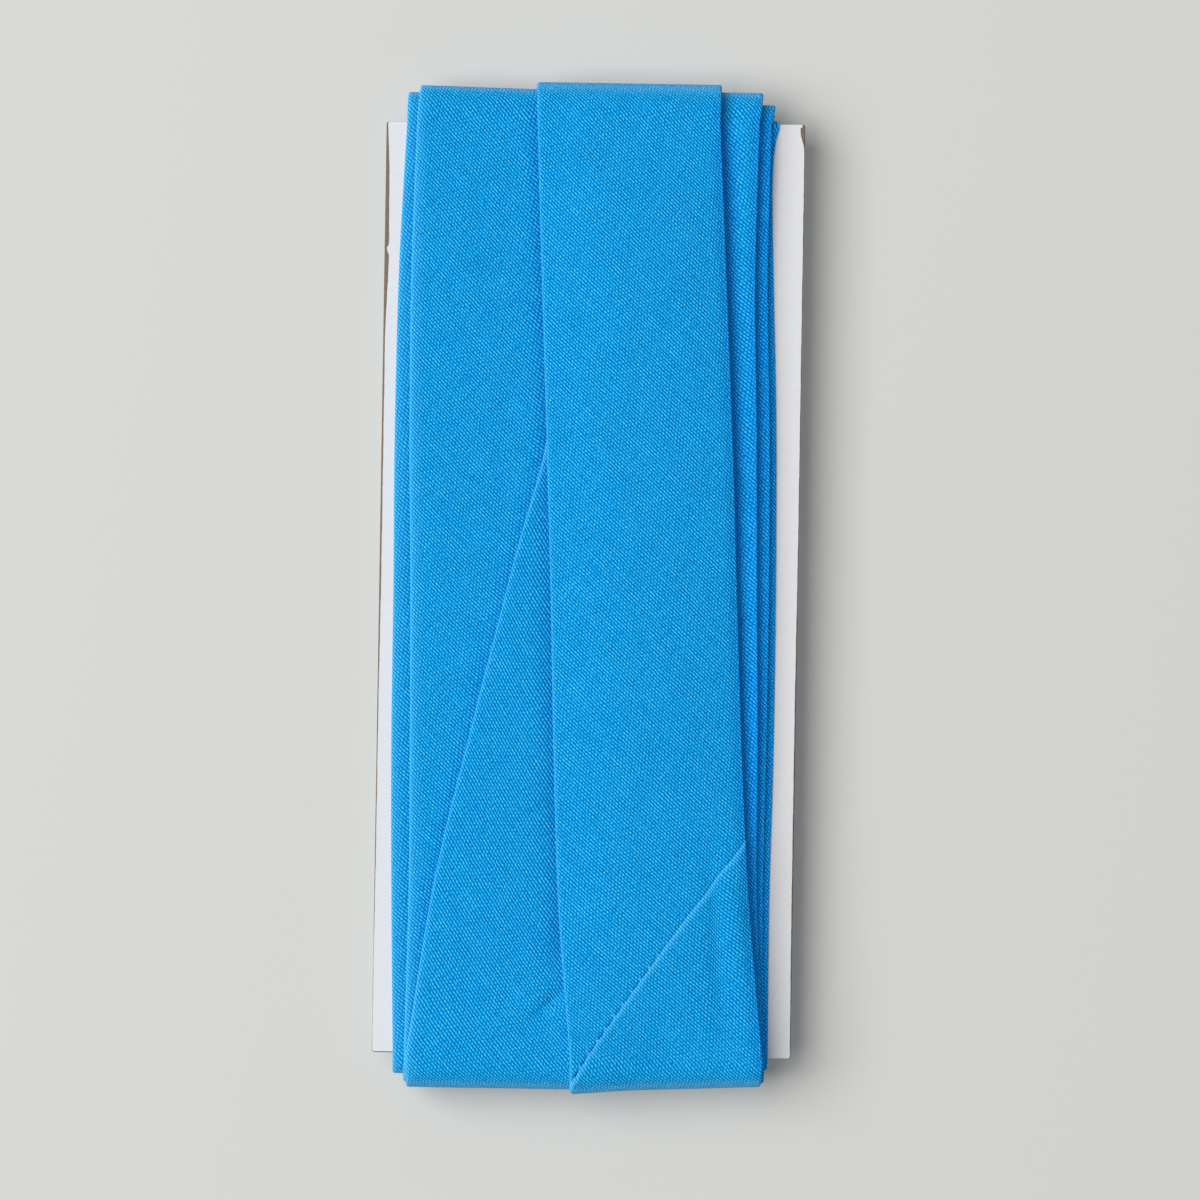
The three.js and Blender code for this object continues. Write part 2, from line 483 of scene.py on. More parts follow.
@dataclass(frozen=True)
class Turn:
    """One turn of the tape.

    The fields from top to bottom are the places of its centre line across the card's front, at seven even
    steps down it. The reaches are how far its loops stand past the card's ends. Front and back are the
    most that its outer face stands over the card's faces, and slack is the air under it. The skews are
    how much further the left edge of each loop stands than its right one, the widths are shares of the
    tape's width down the front run, and flare is how far the top loop leans to the right. The curl is how
    far the front run bends to the right at its top end, and the crown is how far its middle bulges.
    """

    name: str
    top: float
    high: float
    upper: float
    middle: float
    lower: float
    low: float
    bottom: float
    top_reach: float
    bottom_reach: float
    front: float
    back: float
    slack: float = 0.06
    top_skew: float = 0.0
    bottom_skew: float = 0.0
    top_width: float = 1.0
    middle_width: float = 1.0
    bottom_width: float = 1.0
    flare: float = 0.0
    curl: float = 0.0
    crown: float = 0.2
    detail: Detail = Detail.EDGE

    def centre(self, y: np.ndarray) -> np.ndarray:
        """The centre line, carried straight on past the card's ends.

        Args:
            y: places along the card.

        Returns:
            Its place across the card at each of them.
        """
        x = np.array([getattr(self, column) for column in PLACES])
        slopes = np.gradient(x)
        steps = len(x) - 1
        t = (CARD_END - y) / CARD_LENGTH * steps
        i = np.clip(np.floor(t).astype(int), 0, steps - 1)
        w = np.clip(t - i, 0.0, 1.0)
        bend = w * (1 - w) * ((1 - w) * slopes[i] - w * slopes[i + 1])
        inside = x[i] + (x[i + 1] - x[i]) * smooth(w) + bend
        past = np.minimum(t, 0) * slopes[0] + np.maximum(t - steps, 0) * slopes[-1]
        return inside + past + self.curl * np.exp(-np.maximum(CARD_END - y, 0) / CURL_LENGTH)

    def width(self, y: np.ndarray) -> np.ndarray:
        """The share of the tape's width to which the front run is drawn in or pressed out at each y."""
        shares = (self.bottom_width, self.middle_width, self.middle_width, self.top_width)
        return np.interp(y, (-CARD_END, 0.0, MIDDLE_TOP, CARD_END), shares)

    def under(self, name: str, shift: float, **changes: float) -> "Turn":
        """A turn that lies out of sight under this one, a little to one side."""
        moved = {column: getattr(self, column) + shift for column in PLACES}
        return replace(self, name=name, detail=Detail.HIDDEN, **moved, **changes)


FIRST_RIGHT = Turn(
    "first of the right stack", 10.8, 11.55, 12.25, 12.5, 12.55, 12.3, 12.45, 0.9, 1.7, 0.9, 0.9,
    flare=0.3, curl=1.0,
)
LAST_RIGHT = Turn(
    "last of the right stack", 11.0, 10.8, 11.4, 11.65, 11.65, 11.5, 11.9, 3.0, 2.7, 2.3, 2.0, flare=0.5,
)
LAST_LEFT = Turn(
    "last of the left stack", -12.65, -13.45, -13.65, -13.5, -13.45, -13.1, -12.6, 4.0, 2.8, 3.0, 2.9,
)
NEXT_RIGHT = Turn(
    "second turn from the right", 9.3, 9.05, 9.6, 10.0, 10.45, 10.7, 11.9, 4.6, 3.4, 4.1, 3.6,
    slack=1.1, flare=0.45,
)
NEXT_LEFT = Turn(
    "second turn from the left", -11.3, -11.75, -11.65, -11.2, -10.95, -10.8, -11.2, 4.7, 3.9, 3.9, 4.2,
    slack=0.1, top_skew=0.5, flare=0.35, detail=Detail.OPEN,
)
SLANTING = Turn(
    "slanting turn", 4.4, 5.3, 6.27, 1.62, -3.25, -7.77, -10.7, 5.2, 4.6, 5.1, 4.7,
    slack=0.4, top_width=0.93, middle_width=0.97, detail=Detail.OPEN,
)
OUTERMOST = Turn(
    "outermost turn", 4.4, 5.42, 6.46, 7.36, 8.2, 9.32, 11.3, 5.6, 4.4, 6.1, 5.3,
    slack=0.6, bottom_skew=1.1, top_width=0.97, middle_width=0.986, bottom_width=1.02, crown=0.85,
    detail=Detail.JOINED,
)
WINDING = (
    FIRST_RIGHT,
    LAST_RIGHT.under("middle of the right stack", -0.1, top_reach=1.9, bottom_reach=2.2, front=1.6, back=1.5),
    LAST_RIGHT,
    LAST_LEFT.under("first of the left stack", 0.5, top_reach=1.1, bottom_reach=0.9, front=0.9, back=0.9),
    LAST_LEFT.under("second of the left stack", 0.2, top_reach=2.1, bottom_reach=1.6, front=1.6, back=1.5),
    LAST_LEFT.under("third of the left stack", 0.4, top_reach=3.1, bottom_reach=2.2, front=2.3, back=2.2),
    LAST_LEFT,
    NEXT_RIGHT,
    NEXT_LEFT,
    SLANTING,
    OUTERMOST,
)


@dataclass(frozen=True)
class Crease:
    """A soft ridge, or a trough where its height is negative, placed on one turn's front run."""

    turn: Turn
    x: float
    y: float
    lean: float
    length: float
    width: float
    height: float

    def lift(self, x: np.ndarray, y: np.ndarray) -> np.ndarray:
        """Lifts the cloth.

        Args:
            x: places across the card.
            y: places along it.

        Returns:
            How far the crease lifts the cloth at each of them.
        """
        turn = math.radians(self.lean)
        along = (x - self.x) * math.cos(turn) + (y - self.y) * math.sin(turn)
        across = (y - self.y) * math.cos(turn) - (x - self.x) * math.sin(turn)
        return self.height * np.exp(-((2 * along / self.length) ** 2) - (2 * across / self.width) ** 2)


CREASES = (
    Crease(SLANTING, -4.3, -54.9, lean=43, length=6.5, width=1.8, height=-0.8),
    Crease(SLANTING, -5.0, -53.2, lean=40, length=6.5, width=3.4, height=0.3),
    Crease(SLANTING, -3.0, -57.0, lean=45, length=7.0, width=3.4, height=0.2),
    Crease(SLANTING, -4.0, -49.5, lean=80, length=7.0, width=2.6, height=-0.25),
    Crease(OUTERMOST, 17.6, -47.5, lean=95, length=24.0, width=2.4, height=-0.32),
    Crease(OUTERMOST, 20.1, -45.0, lean=97, length=22.0, width=2.4, height=0.25),
    Crease(OUTERMOST, -1.9, -58.5, lean=97, length=12.0, width=1.8, height=0.16),
    Crease(OUTERMOST, 4.5, 2.8, lean=48, length=13.0, width=2.0, height=0.18),
    Crease(OUTERMOST, 3.4, -18.0, lean=-52, length=24.0, width=3.0, height=0.12),
)


@dataclass(frozen=True)
class PressedEdge:
    """A soft trough along the line where the left or right edge of an upper turn is pressed into a lower one.

    Shade is how much painted shade, a bluer tint, the trough gets, and the inset is how far its middle
    lies under the upper turn, as a share of its half width.
    """

    lower: Turn
    upper: Turn
    depth: float
    half_width: float
    right: bool = False
    shade: float = 0.6
    inset: float = 0.0
    lowest: float = -80.0
    fade: float = 5.0

    def lift(self, x: np.ndarray, y: np.ndarray, edge: tuple[np.ndarray, np.ndarray]) -> np.ndarray:
        """Presses the lower cloth down.

        Args:
            x: places across the card.
            y: places along it.
            edge: the places across and along the card of the upper turn's edge, from the top down.

        Returns:
            How far the trough lifts the lower cloth at each place, which is down.
        """
        edge_x, edge_y = edge
        off = (x - np.interp(y, edge_y[::-1], edge_x[::-1])) / self.half_width - self.inset
        return -self.depth * np.exp(-(off**2)) * np.clip((y - self.lowest) / self.fade, 0, 1)


PRESSED_EDGES = (
    PressedEdge(LAST_LEFT, NEXT_LEFT, depth=0.3, half_width=0.7, shade=0.0, inset=0.7),
    PressedEdge(NEXT_LEFT, SLANTING, depth=0.65, half_width=1.3, inset=0.7),
    PressedEdge(NEXT_LEFT, OUTERMOST, depth=1.0, half_width=1.6, inset=0.7),
    PressedEdge(SLANTING, OUTERMOST, depth=1.8, half_width=2.4, inset=0.7, lowest=-53.5),
    PressedEdge(NEXT_RIGHT, OUTERMOST, depth=1.3, half_width=1.7, right=True, shade=1.0),
    PressedEdge(LAST_RIGHT, NEXT_RIGHT, depth=0.6, half_width=1.2, right=True, shade=1.0),
)


class HeightMap:
    """How high the tape already stands over one face of the card."""

    STEP = 0.8
    HALF_X = 36.0
    HALF_Y = 70.0

    def __init__(self) -> None:
        """Starts at the face of the card."""
        self.values = np.zeros([int(2 * half / self.STEP) + 2 for half in (self.HALF_X, self.HALF_Y)])

    def sample(self, x: np.ndarray, y: np.ndarray) -> np.ndarray:
        """Reads the map smoothly between its points.

        Args:
            x: places across the card.
            y: places along it.

        Returns:
            The height at each of them.
        """
        i, j = (x + self.HALF_X) / self.STEP, (y + self.HALF_Y) / self.STEP
        a, b = np.floor(i).astype(int), np.floor(j).astype(int)
        u, w = i - a, j - b
        v = self.values
        low = v[a, b] * (1 - u) + v[a + 1, b] * u
        high = v[a, b + 1] * (1 - u) + v[a + 1, b + 1] * u
        return low * (1 - w) + high * w

    def raise_to(self, x: np.ndarray, y: np.ndarray, height: np.ndarray) -> None:
        """Raises the map where the new heights are higher.

        Args:
            x: places across the card.
            y: places along it.
            height: the new height at each of them.
        """
        i = np.rint((x + self.HALF_X) / self.STEP).astype(int)
        j = np.rint((y + self.HALF_Y) / self.STEP).astype(int)
        np.maximum.at(self.values, (i, j), height)


def slide(values: np.ndarray, reach: int, axis: int, choose: Callable) -> np.ndarray:
    """Takes the highest or the mean of each value's neighbours along one axis.

    Args:
        values: a grid of heights.
        reach: how many neighbours on each side count.
        axis: the axis of the grid to slide along.
        choose: what to take of the neighbours.

    Returns:
        The new grid.
    """
    pad = [(reach, reach) if n == axis else (0, 0) for n in range(values.ndim)]
    wide = np.pad(values, pad, mode="edge")
    size = values.shape[axis]
    near = [np.take(wide, range(s, s + size), axis=axis) for s in range(2 * reach + 1)]
    return choose(near, axis=0)


@dataclass
class Winding:
    """The tape laid turn by turn on the card, as one long surface under the tape's outer ply.

    Each run rests on what already lies on its face of the card, and drapes softly over the edges under
    it. Folded edges give way, so they hold nothing up.
    """

    turns: tuple[Turn, ...] = WINDING
    creases: tuple[Crease, ...] = CREASES
    pressed: tuple[PressedEdge, ...] = PRESSED_EDGES
    width: float = 25.0
    thickness: float = 0.7
    edge_give: float = 1.5
    row_step: float = 0.5
    columns: int = 51
    loop_rows: int = 24
    settle_length: float = 14.0
    lift_along: int = 14
    lift_across: int = 5
    ease_along: int = 20
    ease_across: int = 10
    ease_rounds: int = 2
    wave_height: float = 0.05
    wave_lengths: tuple[tuple[float, float], ...] = ((2.9, 6.1), (-5.3, 4.3), (3.7, 8.7))
    tail_x: float = -7.0
    tail_y: float = 44.0
    lead_y: float = 30.0
    narrow: float = 2.0
    short_of_end: float = 1.001
    points: np.ndarray = field(init=False)
    normals: np.ndarray = field(init=False)
    along: np.ndarray = field(init=False)
    spans: dict[tuple[str, Part], tuple[int, int]] = field(init=False, default_factory=dict)
    kept: list[int] = field(init=False, default_factory=list)

    def __post_init__(self) -> None:
        """Lays every turn in order."""
        self.lateral = np.linspace(-self.width / 2, self.width / 2, self.columns)
        self.maps = {side: HeightMap() for side in Side}
        self.count = 0
        self.blocks: list[np.ndarray] = []
        self.lay_all()
        self.points = np.concatenate(self.blocks)
        self.normals = self.find_normals()
        middle = self.points[:, self.columns // 2, :SHADE_COLUMN]
        steps = np.linalg.norm(np.diff(middle, axis=0), axis=1)
        self.along = np.concatenate([[0.0], np.cumsum(steps)])

    def run_places(
        self, centre: np.ndarray, y: np.ndarray, width: np.ndarray
    ) -> tuple[np.ndarray, np.ndarray]:
        """Spreads a centre line into rows across the tape.

        Args:
            centre: the centre line's place across the card, from the top down.
            y: its place along the card.
            width: the share of the tape's width at each place.

        Returns:
            The place of every point across and along the card.
        """
        lean = np.arctan2(np.gradient(centre), -np.gradient(y))
        turn = lean * smooth(np.clip((CARD_END - np.abs(y)) / self.settle_length, 0, 1))
        stretch = width / np.cos(lean - turn)
        across = self.lateral[None, :] * stretch[:, None]
        return centre[:, None] + across * np.cos(turn)[:, None], y[:, None] + across * np.sin(turn)[:, None]

    def drape(self, x: np.ndarray, y: np.ndarray, side: Side, turn: Turn) -> np.ndarray:
        """Lets a run come to rest on what lies on a face of the card.

        Args:
            x: the places of its points across the card.
            y: their places along it.
            side: the face of the card.
            turn: the turn it belongs to.

        Returns:
            The height of each point over the face.
        """
        most = (turn.front if side is Side.FRONT else turn.back) - self.thickness
        height = self.maps[side].sample(x, y) + turn.slack
        height = slide(height, self.lift_along, 0, np.max)
        height = slide(height, self.lift_across, 1, np.max)
        height = np.minimum(height, most)
        for _ in range(self.ease_rounds):
            height = slide(height, self.ease_along, 0, np.mean)
            height = slide(height, self.ease_across, 1, np.mean)
        return height

    def marks(
        self, x: np.ndarray, y: np.ndarray, turn: Turn, line: np.ndarray
    ) -> tuple[np.ndarray, np.ndarray]:
        """Finds the waves, creases and pressed edges of a turn's front run.

        Args:
            x: the places of its points across the card.
            y: their places along it.
            turn: the turn.
            line: the places of its rows along the card.

        Returns:
            How far each point is lifted, and how much painted shade, a bluer tint, the edges of upper turns
            give it.
        """
        waves = sum(np.sin(x / across + y / along) for across, along in self.wave_lengths)
        lift = self.wave_height / len(self.wave_lengths) * waves
        for crease in self.creases:
            if crease.turn is turn:
                lift = lift + crease.lift(x, y)
        painted_shade = np.zeros_like(x)
        for press in self.pressed:
            if press.lower is turn:
                edges = self.run_places(press.upper.centre(line), line, press.upper.width(line))
                column = -1 if press.right else 0
                trough = press.lift(x, y, (edges[0][:, column], edges[1][:, column]))
                lift = lift + trough
                painted_shade = painted_shade - trough / press.depth * press.shade
        return lift, painted_shade

    def lay_run(self, centre: np.ndarray, line: np.ndarray, side: Side, turn: Turn) -> np.ndarray:
        """Lays one run and raises the map to it.

        Args:
            centre: the centre line's place across the card, from the top down.
            line: its place along the card.
            side: the face of the card.
            turn: the turn it belongs to.

        Returns:
            The run's points, from the top down.
        """
        x, y = self.run_places(centre, line, turn.width(line) if side is Side.FRONT else np.ones_like(line))
        painted_shade = np.zeros_like(x)
        if side is Side.FRONT:
            marks, painted_shade = self.marks(x, y, turn, line)
            bulge = turn.crown * (1 - (2 * self.lateral / self.width) ** 2)
            flat = np.clip((CARD_END - np.abs(line)) / self.settle_length, 0, 1)
            height = self.drape(x, y, side, turn) + marks + flat[:, None] * bulge[None, :]
        elif turn is self.turns[-1]:
            height = np.full_like(x, turn.back - self.thickness)
        else:
            height = self.drape(x, y, side, turn)
        firm = np.abs(self.lateral) < self.width / 2 - self.edge_give
        self.maps[side].raise_to(x[:, firm], y[:, firm], height[:, firm] + self.thickness)
        return np.stack([x, y, side.value * (HALF_CARD + height), painted_shade], axis=-1)

    def loop(self, front: np.ndarray, back: np.ndarray, part: Part, turn: Turn) -> np.ndarray:
        """Bends the tape round one end of the card, from the front run's last row to the back run's.

        Args:
            front: the front run's row at the card's end.
            back: the back run's row at the card's end.
            part: the top or the bottom loop.
            turn: the turn it belongs to.

        Returns:
            The loop's rows, from front to back, without those two.
        """
        angle = np.linspace(math.pi / 2, -math.pi / 2, self.loop_rows + 2)[1:-1, None]
        share = np.linspace(0, 1, self.loop_rows + 2)[1:-1, None]
        top = part is Part.TOP
        reach, skew = (turn.top_reach, turn.top_skew) if top else (turn.bottom_reach, turn.bottom_skew)
        reaches = reach - self.thickness - skew * self.lateral[None, :] / self.width
        lean = turn.flare * np.cos(angle) if top else 0.0
        x = front[None, :, 0] * (1 - share) + back[None, :, 0] * share + lean
        y = (1 if top else -1) * (CARD_END + reaches * np.cos(angle)) + 0 * x
        z = np.where(angle > 0, front[None, :, 2], -back[None, :, 2]) * np.sin(angle)
        return np.stack([x, y, z, 0 * x], axis=-1)

    def add(self, name: str, part: Part, rows: np.ndarray, detail: Detail) -> None:
        """Adds rows to the tape, and keeps where they are and which of them the mesh needs.

        Args:
            name: the turn's name.
            part: which part of the turn they are.
            rows: the rows.
            detail: how many of them the mesh needs.
        """
        run_step, loop_step = detail.value
        step = loop_step if part in (Part.TOP, Part.BOTTOM) else run_step
        needed = set(range(0, len(rows), step))
        for crease in self.creases:
            if crease.width < self.narrow and (crease.turn.name, Part.FRONT) == (name, part):
                off = np.abs(rows[:, self.columns // 2, 1] - crease.y)
                needed |= set(np.flatnonzero(off < crease.length / 2).tolist())
        self.kept += [self.count + row for row in sorted(needed)]
        self.spans[(name, part)] = (self.count, self.count + len(rows))
        self.blocks.append(rows)
        self.count += len(rows)

    def lay_all(self) -> None:
        """Lays the inner end, then each turn's top loop, front run, bottom loop and back run."""
        y = np.linspace(CARD_END, -CARD_END, int(CARD_LENGTH / self.row_step) + 1)
        first = self.turns[0]
        lead_y = y[y > self.lead_y]
        back = self.lay_run(np.full_like(lead_y, first.top), lead_y, Side.BACK, first)
        self.add(first.name, Part.LEAD, back[::-1], Detail.HIDDEN)
        for turn, after in zip(self.turns, (*self.turns[1:], None)):
            front = self.lay_run(turn.centre(y), y, Side.FRONT, turn)
            top = self.loop(front[0], back[0], Part.TOP, turn)
            self.add(turn.name, Part.TOP, top[::-1], turn.detail)
            self.add(turn.name, Part.FRONT, front, turn.detail)
            back_y = y if after else y[y < self.tail_y]
            goal = after.top if after else self.tail_x
            line = np.interp(back_y, (-CARD_END, back_y[0]), (turn.bottom, goal))
            back = self.lay_run(line, back_y, Side.BACK, turn)
            bottom = self.loop(front[-1], back[-1], Part.BOTTOM, turn)
            self.add(turn.name, Part.BOTTOM, bottom, turn.detail)
            self.add(turn.name, Part.BACK, back[::-1], Detail.HIDDEN if after else Detail.EDGE)

    def find_normals(self) -> np.ndarray:
        """Finds the tape's outward directions.

        Returns:
            The direction at every point.
        """
        points = self.points[..., :SHADE_COLUMN]
        normals = np.cross(np.gradient(points, axis=0), np.gradient(points, axis=1))
        return normals / np.linalg.norm(normals, axis=2, keepdims=True)

    def read(self, row: np.ndarray, lateral: np.ndarray) -> tuple[np.ndarray, np.ndarray, np.ndarray]:
        """Reads the tape's surface between its grid points.

        Args:
            row: row numbers, which may lie between rows.
            lateral: places across the tape.

        Returns:
            Points, outward directions, and lengths along the tape.
        """
        row = np.clip(row, 0, self.count - self.short_of_end)
        column = (lateral / self.width + MIDDLE) * (self.columns - 1)
        column = np.clip(column, 0, self.columns - self.short_of_end)
        i, j = np.floor(row).astype(int), np.floor(column).astype(int)
        a, b = (row - i)[..., None], (column - j)[..., None]
        found = []
        for grid in (self.points, self.normals):
            near = grid[i, j] * (1 - b) + grid[i, j + 1] * b
            far = grid[i + 1, j] * (1 - b) + grid[i + 1, j + 1] * b
            found.append(near * (1 - a) + far * a)
        length = self.along[i] * (1 - a[..., 0]) + self.along[i + 1] * a[..., 0]
        return found[0], found[1], length


@dataclass
class FoldedSection:
    """The tape's folded section, from one raw edge under the middle, round both folds, to the other raw edge.

    The shoulders are how wide the outer ply falls towards each fold, and how far. The left fold, which faces
    the light, gets a painted highlight, with a wider one for where the tape passes the card's left side, and
    the right shoulder and fold, which face away from it, get painted shade.
    """

    width: float
    thickness: float
    top_points: int
    raw_edge_gap: float = 1.2
    dip: float = 0.05
    dip_width: float = 1.5
    left_shoulder: tuple[float, float] = (0.5, 0.08)
    right_shoulder: tuple[float, float] = (1.4, 0.36)
    crowding: float = 0.75
    painted_highlight: float = 0.4
    left_fold_highlight: float = 0.6
    left_fold_highlight_width: float = 1.9
    fold_points: int = 6
    under_points: int = 5

    def __post_init__(self) -> None:
        """Works out the section's lateral places, heights, painted highlight and shade, and flat lengths."""
        radius = self.thickness / 2
        fold = self.width / 2 - radius
        even = np.linspace(-1, 1, self.top_points)
        top = fold * (self.crowding * np.sin(even * math.pi / 2) + (1 - self.crowding) * even)
        under = np.linspace(self.raw_edge_gap / 2, fold, self.under_points)
        turn = np.linspace(0, math.pi, self.fold_points + 2)[1:-1]
        out, rise = fold + radius * np.sin(turn), (1 - np.cos(turn)) / 2
        low = np.zeros(self.under_points)
        left = self.shoulder(fold + top, *self.left_shoulder)
        right = self.shoulder(fold - top, *self.right_shoulder)
        fall = left + right + self.dip * np.exp(-((top / self.dip_width) ** 2))
        self.lateral = np.concatenate([-under, -out, top, out[::-1], under[::-1]])
        high = np.ones(self.top_points)
        self.height = self.thickness * np.concatenate([low, rise, high, rise[::-1], low])
        self.fall = np.concatenate([low, rise * fall[0], fall, rise[::-1] * fall[-1], low])
        # Painted shade on the right shoulder and fold, which face away from the light.
        shaded = right / self.right_shoulder[1]
        self.painted_shade_share = np.concatenate([low, 0 * rise, shaded, np.ones_like(rise), low])
        inside = self.lateral + self.width / 2
        raised = self.height > radius / 2
        # Painted highlight on the left fold, which faces the light, and a wider one for the card's left side.
        self.wear_and_highlight = np.clip(1 - inside / self.painted_highlight, 0, 1) * raised
        self.left_fold_highlighting = self.left_fold_highlight * np.clip(1 - inside / self.left_fold_highlight_width, 0, 1) * raised
        steps = np.hypot(np.diff(self.lateral), np.diff(self.height))
        length = np.concatenate([[0.0], np.cumsum(steps)])
        self.flat = length - length[-1] / 2
        self.cut_width = length[-1]

    def shoulder(self, inside: np.ndarray, width: float, drop: float) -> np.ndarray:
        """How far the outer ply falls towards a fold, from its distances inside the fold."""
        share = np.clip(1 - inside / width, 0, 1)
        return drop * share * share


@dataclass(frozen=True)
class SeamRow:
    """A row of cloth beside the seam: how far from it, how far lifted from the folded tape and how much
    painted highlight it gets.
    """

    off: float
    lift: float
    highlight_share: float = 0.0


@dataclass(frozen=True)
class BiasJoin:
    """The slanting seam where the two lengths of strip are sewn together, on the outermost turn.

    The lower length lies over its own allowance, so that its edge stands up as a narrow rolled lip. The
    seam bows a little to its upper left. Towards its lower end it gapes between its stitches, which draw
    the lip back to the upper length.
    """

    right_x: float = 20.73
    right_y: float = -33.71
    left_x: float = -1.96
    left_y: float = -65.95
    bow: float = 0.44
    stitch_pitch: float = 2.0
    stitch_width: float = 0.55
    tight_reach: float = 13.0
    slack_reach: float = 30.0
    tight_gap: float = 0.02
    slack_gap: float = 0.2
    gape_depth: float = 0.9
    gape_end: float = 38.0
    allowance: float = 9.0
    allowance_step: float = 0.3
    upper_rows: tuple[SeamRow, ...] = (
        SeamRow(-6.0, 0.0),
        SeamRow(-3.0, 0.0),
        SeamRow(-2.0, 0.0),
        SeamRow(-1.2, 0.0),
        SeamRow(-0.7, -0.01),
        SeamRow(-0.4, -0.03),
        SeamRow(-0.15, -0.06),
        SeamRow(0.0, -0.12),
        SeamRow(0.1, -0.35),
        SeamRow(0.5, -0.55),
        SeamRow(1.2, -0.55),
    )
    # The third number of a lip row, where given, is how much painted highlight it gets, most on the crest
    # that faces the light.
    lip_rows: tuple[SeamRow, ...] = (
        SeamRow(0.5, -0.5),
        SeamRow(0.2, -0.42),
        SeamRow(0.06, -0.3),
        SeamRow(0.0, -0.1, 0.1),
        SeamRow(0.0, 0.08, 0.4),
        SeamRow(0.06, 0.22, 0.8),
        SeamRow(0.18, 0.34, 1.0),
        SeamRow(0.36, 0.4, 0.7),
        SeamRow(0.6, 0.41, 0.25),
        SeamRow(0.9, 0.39),
    )

    def direction(self) -> np.ndarray:
        """The seam's direction from its right end to its left one."""
        return np.array([self.left_x - self.right_x, self.left_y - self.right_y]) / self.length()

    def length(self) -> float:
        """The straight distance between the seam's ends."""
        return math.hypot(self.left_x - self.right_x, self.left_y - self.right_y)

    def reach(self, points: np.ndarray) -> np.ndarray:
        """How far along the seam points lie, from its right end."""
        return (points[..., :2] - np.array([self.right_x, self.right_y])) @ self.direction()

    def offset(self, points: np.ndarray) -> np.ndarray:
        """Measures points square to the seam.

        Args:
            points: the points.

        Returns:
            How far they lie below the seam, to its lower right.
        """
        way = self.direction()
        gap = points[..., :2] - np.array([self.right_x, self.right_y])
        share = np.clip(self.reach(points) / self.length(), 0, 1)
        return gap[..., 1] * way[0] - gap[..., 0] * way[1] + 4 * self.bow * share * (1 - share)

    def gape(self, reach: np.ndarray) -> np.ndarray:
        """Opens the seam between its stitches.

        Args:
            reach: distances along the seam.

        Returns:
            How wide it gapes at each of them.
        """
        slack = np.clip((reach - self.tight_reach) / (self.slack_reach - self.tight_reach), 0, 1)
        nearest = (reach / self.stitch_pitch - np.rint(reach / self.stitch_pitch)) * self.stitch_pitch
        held = np.exp(-((nearest / self.stitch_width) ** 2))
        wide = self.tight_gap + (self.slack_gap - self.tight_gap) * slack
        return wide * (1 - held * slack) * np.clip(self.gape_end - reach, 0, 1)

    def lower_rows(self) -> list[SeamRow]:
        """Carries the lip on over the allowance, which thins out to nothing.

        Returns:
            The rows of the lip, then those over the allowance.
        """
        lip = self.lip_rows[-1]
        offs = np.arange(lip.off + self.allowance_step, self.allowance, self.allowance_step)
        lifts = lip.lift * (1 - smooth((offs - lip.off) / (self.allowance - lip.off)))
        return [*self.lip_rows, *(SeamRow(off, lift) for off, lift in zip(offs, lifts))]


